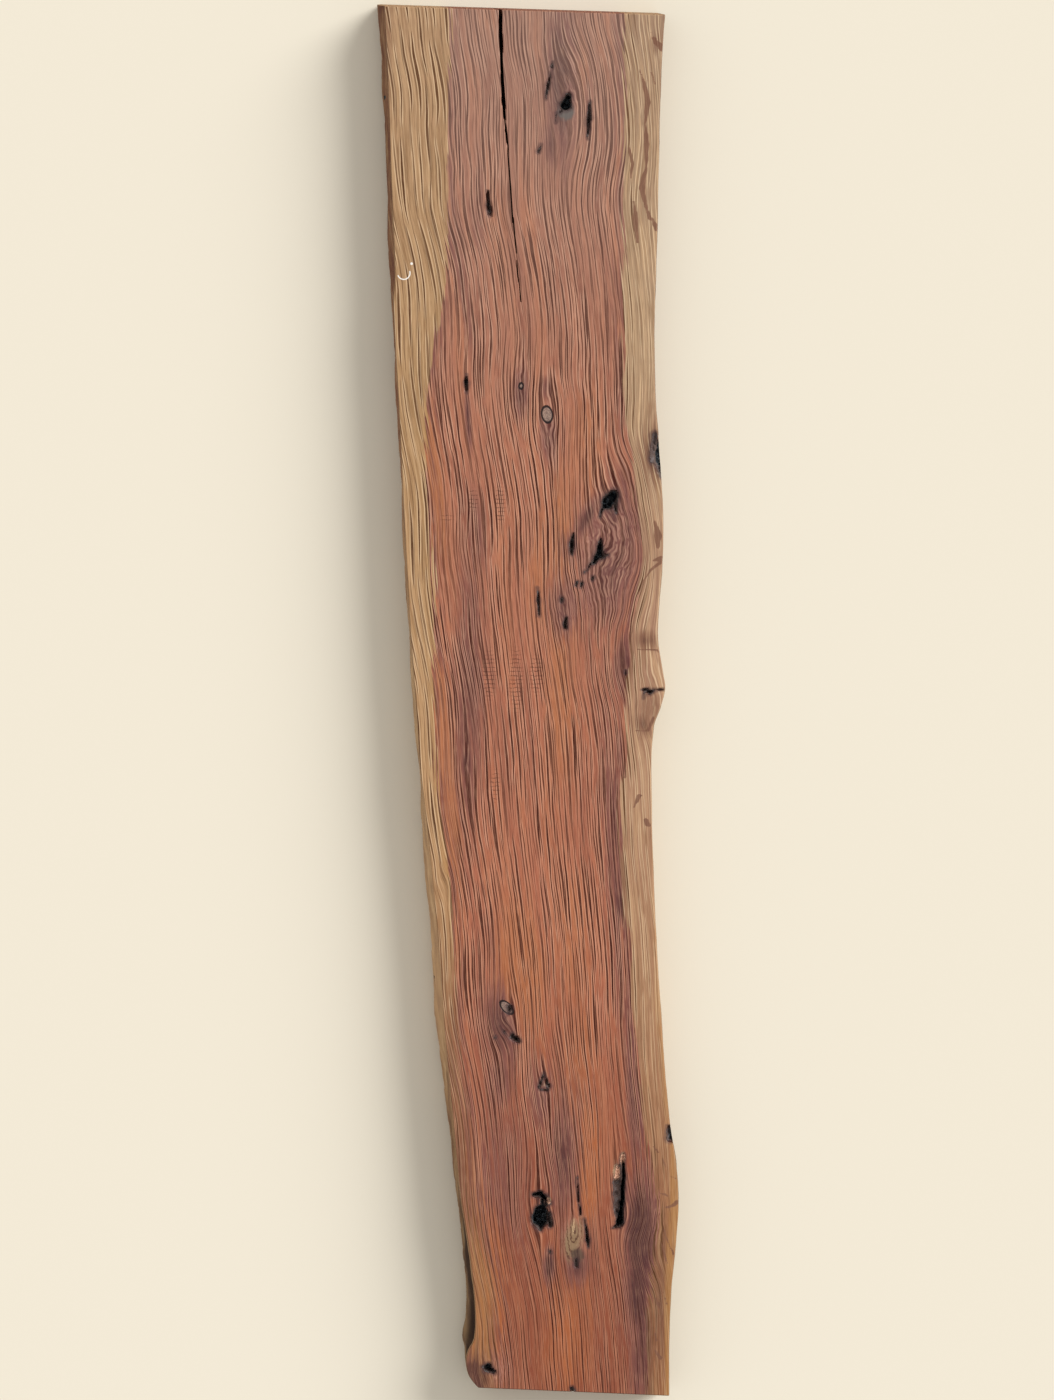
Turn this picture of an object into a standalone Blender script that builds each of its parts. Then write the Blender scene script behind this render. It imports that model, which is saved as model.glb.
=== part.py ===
"""A live edge slab of buloke: one flat-sawn board of a small, very hard she-oak.

The slab lies on its back face. Metres, +Z up: X runs across the slab, Y along it with the
wide end at +Y, and Z through its thickness. The origin is the middle of the underside.
The board grew as one piece, so it is one solid: a loft between the two saw cuts, with the
live edges wandering along it, and the gum pockets, knot holes and the drying check cut out.
"""

import math

import bmesh
import bpy
from mathutils import Matrix, Vector, noise

# Driving dimensions, in metres
THICKNESS = 0.045
WIDE_END = 0.690  # the saw cut at the wide end, on the face, at the slab's middle line
NARROW_END = -0.692
WIDE_END_SLOPE = -0.031  # how far the cut runs along the slab for each metre across it
NARROW_END_SLOPE = -0.042
WIDE_END_LEAN = 0.009  # how far the cut runs out from the face to the underside
NARROW_END_LEAN = -0.002

# The face's left edge: (place along the slab, edge, how far the wane below it stands out)
LEFT_EDGE = [
    (0.700, -0.1435, 0.0085),
    (0.600, -0.1390, 0.0060),
    (0.500, -0.1355, 0.0055),
    (0.430, -0.1325, 0.0060),
    (0.395, -0.1340, 0.0025),
    (0.300, -0.1290, 0.0025),
    (0.100, -0.1190, 0.0025),
    (-0.020, -0.1105, 0.0030),
    (-0.070, -0.1070, 0.0020),
    (-0.120, -0.1010, 0.0055),
    (-0.235, -0.0900, 0.0078),
    (-0.340, -0.0820, 0.0085),
    (-0.450, -0.0715, 0.0045),
    (-0.500, -0.0665, 0.0045),
    (-0.560, -0.0575, 0.0075),
    (-0.600, -0.0530, 0.0080),
    (-0.625, -0.0520, 0.0095),
    (-0.644, -0.0535, 0.0120),
    (-0.654, -0.0590, 0.0045),
    (-0.666, -0.0605, 0.0015),
    (-0.680, -0.0560, 0.0010),
    (-0.690, -0.0470, 0.0010),
    (-0.700, -0.0330, 0.0010),
]
# The face's right edge, which is also the slab's outline there: (place along, edge)
RIGHT_EDGE = [
    (0.700, 0.1390),
    (0.620, 0.1340),
    (0.500, 0.1315),
    (0.380, 0.1280),
    (0.300, 0.1290),
    (0.220, 0.1350),
    (0.170, 0.1365),
    (0.135, 0.1355),
    (0.095, 0.1325),
    (0.060, 0.1315),
    (0.030, 0.1360),
    (0.012, 0.1385),
    (-0.005, 0.1345),
    (-0.028, 0.1265),
    (-0.100, 0.1250),
    (-0.180, 0.1270),
    (-0.260, 0.1310),
    (-0.340, 0.1360),
    (-0.420, 0.1430),
    (-0.460, 0.1490),
    (-0.500, 0.1520),
    (-0.545, 0.1490),
    (-0.590, 0.1445),
    (-0.640, 0.1425),
    (-0.700, 0.1425),
]

# The wane: the bare outer surface of the trunk, under the bark
RIGHT_TUCK = 0.006  # how far the right edge draws in at the underside
LEFT_TUCK = 0.003
ARRIS = 0.0012  # rounding where a face meets the wane
RIPPLE = 0.0011  # height of the long flutes along the wane
BARK_SLOT = 0.0050  # depth of the slot under the face beside the burl
BARK_SLOT_PLACE = -0.622
BARK_SLOT_REACH = 0.045
DEPTHS = (0.0, 0.03, 0.11, 0.22, 0.36, 0.52, 0.70, 0.86, 0.97, 1.0)

# How close the lofted sections stand
LONG_STEP = 0.010
SHORT_STEP = 0.005
BUSY_STRETCHES = [(-0.640, 0.056), (0.010, 0.045)]  # (middle, half length)

# Holes in the face: name, across, along, half width, half length, depth, turn in degrees
FACE_HOLES = [
    ("knot_hole_wide_end", 0.0395, 0.5970, 0.0075, 0.0090, 0.014, -15),
    ("gum_slit_left_of_knot", 0.0210, 0.6115, 0.0020, 0.0120, 0.007, 6),
    ("gum_slit_right_of_knot", 0.0615, 0.5770, 0.0028, 0.0160, 0.010, -4),
    ("gum_slit_left", -0.0385, 0.4930, 0.0026, 0.0110, 0.012, 4),
    ("borer_hole_left", -0.0610, 0.3180, 0.0024, 0.0060, 0.012, 8),
    ("burl_hole_upper", 0.0835, 0.2010, 0.0100, 0.0115, 0.015, -32),
    ("burl_hole_left", 0.0455, 0.1550, 0.0032, 0.0074, 0.012, 6),
    ("burl_hole_lower", 0.0700, 0.1440, 0.0070, 0.0125, 0.014, -30),
    ("burl_pin_hole", 0.0385, 0.0770, 0.0026, 0.0048, 0.008, 0),
    ("knot_eye_lower", -0.0180, -0.3100, 0.0030, 0.0040, 0.007, 30),
    ("pocket_by_eye", -0.0118, -0.3395, 0.0058, 0.0026, 0.010, -22),
    ("knot_hole_middle", 0.0170, -0.3850, 0.0042, 0.0064, 0.008, 12),
    ("long_pocket_top", 0.0965, -0.4640, 0.0036, 0.0120, 0.013, -8),
    ("long_pocket_middle", 0.0925, -0.4850, 0.0062, 0.0170, 0.021, -10),
    ("long_pocket_foot", 0.0920, -0.5130, 0.0064, 0.0160, 0.023, 4),
    ("comma_pocket_arm", 0.0120, -0.4960, 0.0100, 0.0042, 0.014, -30),
    ("comma_pocket_bowl", 0.0145, -0.5170, 0.0100, 0.0118, 0.018, 10),
    ("slit_by_knot", 0.0600, -0.5340, 0.0021, 0.0135, 0.010, 12),
    ("burl_hole_corner", -0.0375, -0.6695, 0.0082, 0.0052, 0.013, -26),
]
# Holes that break the right edge: name, across, along, height, half sizes, turn in degrees
EDGE_HOLES = [
    ("edge_knot_hole", 0.1350, 0.2420, 0.036, (0.0070, 0.0150, 0.013), 0),
    ("edge_stub_hole", 0.1215, 0.0100, 0.044, (0.0065, 0.0030, 0.012), 14),
    ("edge_pocket", 0.1430, -0.4330, 0.041, (0.0050, 0.0065, 0.010), 10),
]
HOLE_ROUGHNESS = 0.22  # how far a hole's wall strays, as a share of its own size
HOLE_GRAIN = 1.7  # lumps across a hole
HOLE_DETAIL = 2  # how finely a hole is cut

# The drying check that runs in from the wide end: (place along, across, width)
CHECK_LINE = [
    (0.720, -0.0265, 0.0052),
    (0.640, -0.0258, 0.0036),
    (0.595, -0.0228, 0.0048),
    (0.575, -0.0215, 0.0036),
    (0.550, -0.0190, 0.0020),
    (0.510, -0.0158, 0.0020),
    (0.470, -0.0130, 0.0016),
    (0.435, -0.0095, 0.0018),
    (0.405, -0.0070, 0.0008),
]
CHECK_DEPTH_AT_END = 0.034
CHECK_DEPTH_AT_TIP = 0.006
CLEAR_ABOVE = 0.004  # how far a cutter stands above the face

HEARTWOOD_COLOUR = (0.392, 0.154, 0.088, 1.0)  # linear, a warm red-brown
OILED_ROUGHNESS = 0.42


def clear_scene():
    for thing in list(bpy.data.objects):
        bpy.data.objects.remove(thing, do_unlink=True)


def smooth_value(points, at, column):
    """A cubic through the points: each one's slope is that between its two neighbours."""
    last = len(points) - 1
    i = next((k for k in range(last) if at >= points[k + 1][0]), last - 1)
    slope = []
    for k in (i, i + 1):
        before, after = points[max(k - 1, 0)], points[min(k + 1, last)]
        slope.append((after[column] - before[column]) / (after[0] - before[0]))
    span = points[i + 1][0] - points[i][0]
    t = min(max((at - points[i][0]) / span, 0.0), 1.0)
    low, high = points[i][column], points[i + 1][column]
    return (
        low * (1 + 2 * t) * (1 - t) ** 2
        + high * t * t * (3 - 2 * t)
        + span * slope[0] * t * (1 - t) ** 2
        - span * slope[1] * t * t * (1 - t)
    )


def eased(value, start, end):
    """0 before start and 1 after end, with a soft bend at both."""
    t = min(max((value - start) / (end - start), 0.0), 1.0)
    return t * t * (3 - 2 * t)


def mound(value, middle, reach):
    """1 at the middle, falling to 0 at reach on either side."""
    return 1 - eased(abs(value - middle), 0.0, reach)


def flutes(y, depth, phase):
    """The slow ridges that run along bare trunk wood, slanting a little with depth."""
    long_wave = math.sin(y * 41.0 + depth * 2.2 + phase)
    short_wave = math.sin(y * 87.0 - depth * 3.1 + 2.3 * phase)
    return RIPPLE * (long_wave + 0.6 * short_wave) * eased(depth, 0.0, 0.25)


def arris(depth):
    """How far the edge draws in at the faces, where it is rounded by sanding."""
    return ARRIS * (1 - eased(min(depth, 1 - depth), 0.0, 0.05))


def left_wane(y, depth):
    """Across, the left live edge at this place along the slab and share of its depth."""
    out = smooth_value(LEFT_EDGE, y, 2) * eased(depth, 0.02, 0.62)
    slot = BARK_SLOT * mound(y, BARK_SLOT_PLACE, BARK_SLOT_REACH) * mound(depth, 0.24, 0.20)
    tuck = LEFT_TUCK * eased(depth, 0.72, 1.0)
    edge = smooth_value(LEFT_EDGE, y, 1)
    return edge - out + slot + tuck + arris(depth) - flutes(y, depth, 0.4)


def right_wane(y, depth):
    """Across, the right live edge, which draws in towards the underside."""
    tuck = RIGHT_TUCK * eased(depth, 0.15, 1.0)
    edge = smooth_value(RIGHT_EDGE, y, 1)
    return edge - tuck - arris(depth) + flutes(y, depth, 1.9)


def stations():
    """Places along the slab for the lofted sections, closer together on busy stretches."""
    places = [WIDE_END]
    while places[-1] > NARROW_END:
        y = places[-1]
        busy = any(abs(y - middle) < reach for middle, reach in BUSY_STRETCHES)
        places.append(y - (SHORT_STEP if busy else LONG_STEP))
    places[-1] = NARROW_END
    return places


def skewed(x, y, depth):
    """A point of a section, slid along the slab so that the end sections are the saw cuts."""
    share = (y - NARROW_END) / (WIDE_END - NARROW_END)
    slope = NARROW_END_SLOPE + (WIDE_END_SLOPE - NARROW_END_SLOPE) * share
    lean = NARROW_END_LEAN + (WIDE_END_LEAN - NARROW_END_LEAN) * share
    middle = (right_wane(y, 0.0) + left_wane(y, 0.0)) / 2
    end_share = eased(abs(share - 0.5), 0.25, 0.5)
    slide = slope * (x - middle) + lean * depth
    return Vector((x, y + slide * end_share, THICKNESS * (1 - depth)))


def section(y):
    """One ring round the slab: down the left edge and up the right one."""
    down = [skewed(left_wane(y, depth), y, depth) for depth in DEPTHS]
    up = [skewed(right_wane(y, depth), y, depth) for depth in reversed(DEPTHS)]
    return down + up


def board():
    """The sawn board with both live edges, before its holes are cut."""
    mesh = bmesh.new()
    rings = [[mesh.verts.new(point) for point in section(y)] for y in stations()]
    count = len(rings[0])
    for ring, following in zip(rings, rings[1:]):
        for k in range(count):
            after = (k + 1) % count
            mesh.faces.new((ring[k], ring[after], following[after], following[k]))
    mesh.faces.new(reversed(rings[0]))
    mesh.faces.new(rings[-1])
    bmesh.ops.recalc_face_normals(mesh, faces=mesh.faces[:])
    return mesh


def centre_of(mesh):
    """The middle of the board's own box, at its underside."""
    xs = [vertex.co.x for vertex in mesh.verts]
    ys = [vertex.co.y for vertex in mesh.verts]
    return Vector(((min(xs) + max(xs)) / 2, (min(ys) + max(ys)) / 2, 0.0))


def object_from(mesh, name, collection):
    data = bpy.data.meshes.new(name)
    mesh.to_mesh(data)
    mesh.free()
    thing = bpy.data.objects.new(name, data)
    collection.objects.link(thing)
    return thing


def as_cutter(thing):
    thing.hide_render = True
    thing.display_type = "WIRE"
    return thing


def hole_cutter(name, place, half_sizes, turn, collection):
    """A lumpy ball, stretched along the grain, as rot, gum and borers leave behind."""
    mesh = bmesh.new()
    bmesh.ops.create_icosphere(mesh, subdivisions=HOLE_DETAIL, radius=1.0)
    seed = Vector((place[0] * 91.0, place[1] * 57.0, 0.0))
    for vertex in mesh.verts:
        lump = noise.noise(vertex.co * HOLE_GRAIN + seed)
        vertex.co *= 1 + HOLE_ROUGHNESS * lump
    shape = Matrix.Rotation(math.radians(turn), 4, "Z") @ Matrix.Diagonal((*half_sizes, 1.0))
    mesh.transform(Matrix.Translation(place) @ shape)
    return as_cutter(object_from(mesh, name, collection))


def check_cutter(collection):
    """A thin wedge along the drying check: wide at the face, a line at its foot."""
    mesh = bmesh.new()
    rings = []
    first, last = CHECK_LINE[0][0], CHECK_LINE[-1][0]
    for y, x, width in CHECK_LINE:
        share = (first - y) / (first - last)
        depth = CHECK_DEPTH_AT_END + (CHECK_DEPTH_AT_TIP - CHECK_DEPTH_AT_END) * share
        top, foot = THICKNESS + CLEAR_ABOVE, THICKNESS - depth
        half = width / 2 * (1 + CLEAR_ABOVE / depth)
        corners = [(x - half, y, top), (x + half, y, top), (x, y, foot)]
        rings.append([mesh.verts.new(corner) for corner in corners])
    for ring, following in zip(rings, rings[1:]):
        for k in range(3):
            after = (k + 1) % 3
            mesh.faces.new((ring[k], ring[after], following[after], following[k]))
    mesh.faces.new(reversed(rings[0]))
    mesh.faces.new(rings[-1])
    bmesh.ops.recalc_face_normals(mesh, faces=mesh.faces[:])
    return as_cutter(object_from(mesh, "drying_check", collection))


def oiled_heartwood():
    material = bpy.data.materials.new("oiled_buloke_heartwood")
    material.use_nodes = True
    shader = material.node_tree.nodes["Principled BSDF"]
    shader.inputs["Base Color"].default_value = HEARTWOOD_COLOUR
    shader.inputs["Roughness"].default_value = OILED_ROUGHNESS
    shader.inputs["Metallic"].default_value = 0.0
    return material


def new_collection(name):
    made = bpy.data.collections.new(name)
    bpy.context.scene.collection.children.link(made)
    return made


def main():
    clear_scene()
    parts = new_collection("live_edge_slab")
    cutters = new_collection("hole_cutters")
    mesh = board()
    centre = centre_of(mesh)
    for name, x, y, half_width, half_length, depth, turn in FACE_HOLES:
        place = (x, y, THICKNESS)
        hole_cutter(name, place, (half_width, half_length, depth), turn, cutters)
    for name, x, y, z, half_sizes, turn in EDGE_HOLES:
        hole_cutter(name, (x, y, z), half_sizes, turn, cutters)
    check_cutter(cutters)
    slab = object_from(mesh, "slab", parts)
    slab.data.materials.append(oiled_heartwood())
    for thing in [slab, *cutters.objects]:
        thing.data.transform(Matrix.Translation(-centre))
    carve = slab.modifiers.new("holes", "BOOLEAN")
    carve.operation = "DIFFERENCE"
    carve.operand_type = "COLLECTION"
    carve.collection = cutters
    carve.solver = "EXACT"
    slab.data.shade_smooth()
    slab.data.set_sharp_from_angle(angle=math.radians(35))


main()
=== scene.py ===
"""The looks of a buloke live edge slab: its figured face, wandering edges, holes and sawn ends.

The slab lies on its back on a pale floor, seen from straight above with its wide end up.
Lengths are in millimetres until a mesh is made. X runs across the slab, Y along it towards
the wide end, and Z through its thickness, from the underside at 0.
"""

import bpy
import numpy as np
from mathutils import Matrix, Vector


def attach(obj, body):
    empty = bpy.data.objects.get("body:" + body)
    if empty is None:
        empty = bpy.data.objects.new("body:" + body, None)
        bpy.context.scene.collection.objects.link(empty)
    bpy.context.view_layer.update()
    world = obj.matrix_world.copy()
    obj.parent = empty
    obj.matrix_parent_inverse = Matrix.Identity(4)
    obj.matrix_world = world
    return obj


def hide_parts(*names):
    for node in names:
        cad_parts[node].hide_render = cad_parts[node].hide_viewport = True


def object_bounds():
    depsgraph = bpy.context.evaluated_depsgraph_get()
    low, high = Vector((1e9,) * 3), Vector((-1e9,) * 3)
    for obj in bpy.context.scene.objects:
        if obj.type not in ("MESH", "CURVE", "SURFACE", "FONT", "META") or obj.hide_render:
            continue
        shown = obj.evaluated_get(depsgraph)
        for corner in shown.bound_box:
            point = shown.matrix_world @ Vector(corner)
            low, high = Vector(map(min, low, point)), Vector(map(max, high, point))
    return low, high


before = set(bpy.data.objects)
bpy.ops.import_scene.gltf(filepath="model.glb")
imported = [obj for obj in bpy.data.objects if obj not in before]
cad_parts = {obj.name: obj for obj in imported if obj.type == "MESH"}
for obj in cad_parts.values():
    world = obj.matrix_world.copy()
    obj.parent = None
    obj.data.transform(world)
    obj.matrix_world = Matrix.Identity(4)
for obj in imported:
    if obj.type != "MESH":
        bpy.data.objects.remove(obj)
cad_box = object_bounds()

# The slab. One flat-sawn board of buloke, a she-oak whose broad rays show on the face as dark,
# lens-shaped flecks. The face is sanded and oiled, the long edges are bare trunk under the bark,
# and the ends and the back are as the saw left them.

MM = 0.001  # metres
THICKNESS = 45.0
WIDE_END = 689.9  # the saw cut on the face, at the slab's middle line
NARROW_END = -692.0
WIDE_END_SLOPE = -0.031  # how far a cut runs along the slab for each millimetre across it
NARROW_END_SLOPE = -0.042
WIDE_END_LEAN = 9.0  # how far a cut runs out from the face to the underside
NARROW_END_LEAN = -2.0
ARRIS = 1.2  # rounding of the face's edges, from sanding
RIPPLE = 0.6  # height of the long flutes on bare trunk wood

# (place along the slab, the face's left edge, how far the wane stands out below it)
LEFT_EDGE = [
    (700, -143.5, 8.5), (600, -139.0, 6.0), (500, -135.5, 5.5), (430, -132.5, 6.0),
    (395, -134.0, 2.5), (300, -129.0, 2.5), (100, -119.0, 2.5), (-20, -110.5, 3.0),
    (-70, -107.0, 2.0), (-120, -101.0, 5.5), (-235, -90.0, 7.8), (-340, -82.0, 8.5),
    (-450, -71.5, 4.5), (-500, -66.5, 4.5), (-560, -57.5, 7.5), (-600, -53.0, 8.0),
    (-625, -52.0, 9.5), (-644, -53.5, 12.0), (-654, -59.0, 4.5), (-666, -61.5, 1.5),
    (-680, -58.5, 1.0), (-690, -51.0, 1.0), (-700, -40.0, 1.0),
]
# (place along the slab, the face's right edge)
RIGHT_EDGE = [
    (700, 139.0), (620, 134.0), (500, 131.5), (380, 128.0), (300, 129.0), (220, 135.0),
    (170, 136.5), (135, 135.5), (95, 132.5), (60, 131.5), (30, 136.0), (12, 138.5), (-5, 134.5),
    (-28, 126.5), (-100, 125.0), (-180, 127.0), (-260, 131.0), (-340, 136.0), (-420, 143.0),
    (-460, 149.0), (-500, 151.8), (-545, 149.0), (-590, 144.5), (-640, 142.5), (-700, 142.5),
]
RIGHT_TUCK = 6.0  # how far the right edge draws in at the underside
LEFT_TUCK = 3.0
BARK_SLOT = 5.0  # the slot under the face beside the burl: depth, place, reach
BARK_SLOT_PLACE = -622.0
BARK_SLOT_REACH = 45.0
WANE_FISSURE = 1.5  # depth of the fine fissures in the wane
FAR = 60.0  # further from a place than any gap that shows

# The drying check that runs in from the wide end: (place along, across, width)
DRYING_CHECK = [
    (720, -26.5, 3.6), (640, -25.8, 2.8), (595, -22.8, 3.4), (578, -21.5, 2.4), (550, -19.0, 1.1),
    (510, -15.8, 1.0), (470, -13.0, 0.7), (435, -9.5, 0.9), (405, -7.0, 0.4), (380, -4.5, -1.0),
]
CHECK_DEPTH = 34.0  # at the end of the slab
CHECK_DEPTH_AT_TIP = 6.0

# Holes in the face. Each stroke is a rod with round ends that tapers from one end to the other:
# across and along at one end, the same at the other, the radius at each end, and the depth.
HOLE_STROKES = [
    # the knot hole near the wide end, and the slits round it
    (41, 602.5, 39, 596.5, 4.0, 6.4, 14), (35.5, 592, 33, 587, 2.0, 0.6, 8),
    (29.5, 587, 29, 578, 0.7, 0.3, 2), (23, 627, 21, 615, 0.4, 1.6, 6),
    (21, 615, 18.6, 601, 1.6, 0.4, 6), (62.8, 599, 62, 582, 0.4, 2.3, 9),
    (62, 582, 60.6, 561, 2.3, 0.5, 9), (25.6, 638, 24.6, 633, 0.6, 1.5, 3),
    (14, 556, 11.6, 549, 0.5, 1.6, 3), (-39.2, 509, -38, 493, 0.4, 2.3, 12),
    (-38, 493, -36.6, 481, 2.3, 0.6, 12),
    # the borer hole on the left
    (-60.2, 325, -61, 317, 0.4, 2.3, 12), (-61, 317, -60.4, 307, 2.3, 0.3, 9),
    # the upper hole of the burl, and a slit on its left
    (80, 197, 86, 204, 6.4, 6.2, 15), (76, 193, 72.5, 183, 2.6, 0.5, 9),
    (88.5, 198, 89, 187, 3.2, 0.8, 8), (46.4, 166, 45.2, 156, 0.9, 2.7, 12),
    (45.2, 156, 45, 146, 2.7, 1.0, 12),
    # the lower hole of the burl, and small ones below it
    (73, 160, 73, 147, 1.0, 4.2, 14), (73, 146, 66.5, 138.5, 4.8, 2.4, 14),
    (65, 137, 57, 127, 0.9, 0.2, 5), (74, 144, 81, 145, 3.6, 0.5, 9),
    (50.3, 118, 48.6, 114, 1.3, 1.0, 4), (54.8, 117, 54, 113.5, 1.4, 0.9, 4),
    (66, 122, 65, 120, 1.4, 1.0, 3), (34.4, 101, 34, 98, 1.6, 1.0, 4),
    (10.6, 112, 11.4, 98, 0.4, 1.6, 7), (11.4, 98, 12, 84, 1.6, 0.4, 7),
    (38.6, 82, 38.2, 73, 1.6, 2.4, 8), (99, 28.6, 99, 27, 1.1, 1.0, 3),
    # small knots in the narrower half
    (-17.5, -308.5, -18.6, -311.5, 2.7, 2.0, 7), (-15, -336, -8.5, -341.5, 2.4, 2.1, 10),
    (-32, -337, -32.6, -339, 1.2, 0.8, 3), (-23, -331, -22.6, -333, 0.9, 0.8, 3),
    (16.8, -373, 12.2, -387, 0.7, 1.5, 5), (16.8, -375, 21.6, -386, 0.7, 1.7, 6),
    (13, -389.5, 21, -389.5, 0.9, 1.1, 4),
    # the long gum pocket, with a shelf on its left
    (96.5, -455, 95.5, -463, 1.8, 2.6, 3), (92, -467, 90.5, -480, 2.6, 4.4, 3),
    (90.5, -482, 90.5, -500, 4.8, 4.2, 7), (90.5, -500, 91.5, -515, 4.2, 4.0, 8),
    (96.6, -463, 96, -484, 1.5, 2.3, 19), (96, -484, 94.5, -510, 2.3, 2.5, 22),
    (94.2, -512, 93, -521, 2.7, 4.5, 23), (91, -525, 86, -528, 3.0, 1.0, 15),
    # the comma pocket
    (6.4, -495, 12.6, -494, 2.2, 3.0, 14), (12.6, -494, 20, -501, 3.0, 2.4, 14),
    (20, -501, 18, -508, 2.4, 1.2, 9), (13.5, -513, 13, -519, 7.6, 8.6, 18),
    (13.5, -525, 14, -530, 4.6, 2.0, 13), (21, -516, 23, -525, 3.6, 2.6, 9),
    (15, -500, 17, -510, 2.0, 2.8, 14), (18, -496, 22.5, -503, 1.6, 2.2, 2.5),
    # slits and pinholes beside and below the two pockets
    (50, -478, 53.2, -514, 0.2, 0.6, 6), (57.6, -519, 61, -540, 0.3, 1.9, 10),
    (61, -540, 61.6, -548, 2.0, 0.7, 10), (49, -560, 49.6, -566, 1.5, 1.9, 5),
    (22.6, -551.5, 23, -553, 1.4, 1.1, 4), (45.4, -688, 46.4, -692, 1.6, 2.2, 7),
    # the hole in the corner burl
    (-39.6, -668, -33.6, -671.5, 4.4, 2.6, 13), (-45, -666.5, -41, -667, 1.2, 2.4, 8),
    # the holes that break the right edge
    (131, 256, 132, 240, 3.2, 4.9, 13), (131, 240, 135, 224, 4.6, 2.6, 9),
    (127, 266, 126, 240, 2.6, 3.0, 3), (142, -428, 143, -438, 2.6, 4.0, 10),
    # the crack of the branch knot
    (115, 10.5, 122, 8.4, 0.8, 2.3, 8), (122, 8.4, 127, 10.5, 2.4, 0.8, 8),
    (127, 10.5, 137, 10.5, 0.6, 0.3, 3), (118, 9, 117, 2, 0.8, 0.3, 3),
    # two nicks in the left edge
    (-94.2, -277, -93, -292, 1.6, 1.9, 5), (-144, 604, -144, 606, 1.8, 1.8, 3),
]
# Knots drawn by a dark ring: across, along, half width, half length, how far the fibre leans
KNOT_RINGS = [
    (20.0, 285.5, 5.4, 8.2, 0.10), (-20.5, -307.5, 5.4, 6.8, 0.55), (-6.0, 314.0, 2.1, 3.0, 0.0),
]
# Where fibre is pushed aside: across, along, reach across, reach along, how far it is pushed
FIBRE_PUSHES = [
    (38, 598, 15, 42, 6.0), (20, 287, 11, 30, 4.2), (-6, 311, 8, 26, 2.6), (80, 160, 27, 60, 10.0),
    (36, 95, 11, 30, 3.6), (-60, -60, 8, 34, 2.5), (-20, -312, 11, 30, 4.5),
    (16, -386, 10, 26, 2.6), (14, -510, 14, 30, 6.0), (92, -490, 11, 46, 4.5),
    (47, -540, 10, 30, 3.6), (-40, -670, 16, 22, 5.0), (128, 5, 14, 34, 6.0),
    (133, 245, 12, 36, 5.0), (-84, -183, 6, 14, 2.4), (97, 34, 9, 26, 3.4),
]
# Where fibre swings across, as it does inside a burl: across, along, reach, reach, slope
FIBRE_SWINGS = [
    (75, 655, 55, 46, -0.20), (80, 535, 50, 50, 0.20), (-60, 462, 80, 60, -0.09),
    (-62, 548, 62, 34, -0.13), (-30, 386, 50, 32, -0.10), (46, 308, 16, 26, -0.14),
    (0, 668, 26, 30, 0.18), (-98, 672, 42, 36, 0.13), (-10, -640, 70, 40, 0.08),
    (84, 138, 24, 46, 0.30), (112, 110, 16, 46, 0.32), (86, 74, 34, 34, 0.36),
    (82, 34, 38, 26, 0.20), (104, -530, 14, 24, 0.20), (103, 245, 16, 34, -0.28),
    (127, -580, 10, 40, -0.30), (-66, 130, 20, 40, -0.16), (-24, -335, 14, 26, -0.24),
    (22, -520, 12, 20, -0.30), (113, -530, 12, 26, 0.30), (118, -10, 12, 24, 0.25),
]
# The edge of the heartwood on each side: (place along the slab, across)
LEFT_SAP_LINE = [
    (677, -77), (539, -79), (470, -79), (417, -82), (384, -86), (362, -92), (319, -99),
    (265, -101), (220, -100), (175, -97), (110, -93), (45, -93), (-11, -92), (-65, -91),
    (-108, -87), (-152, -80), (-184, -77), (-228, -74), (-249, -72), (-330, -69), (-400, -61),
    (-460, -53), (-530, -45), (-590, -31), (-640, -33), (-696, -27),
]
RIGHT_SAP_LINE = [
    (685, 98), (460, 96), (330, 96), (276, 99), (233, 106), (200, 110), (164, 114),
    (132, 113), (77, 105), (45, 104), (12, 99), (-65, 99), (-91, 92), (-152, 94),
    (-206, 96), (-238, 102), (-301, 104), (-373, 112), (-414, 114), (-456, 123), (-512, 130),
    (-557, 125), (-593, 122), (-629, 119), (-688, 119),
]
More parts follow.
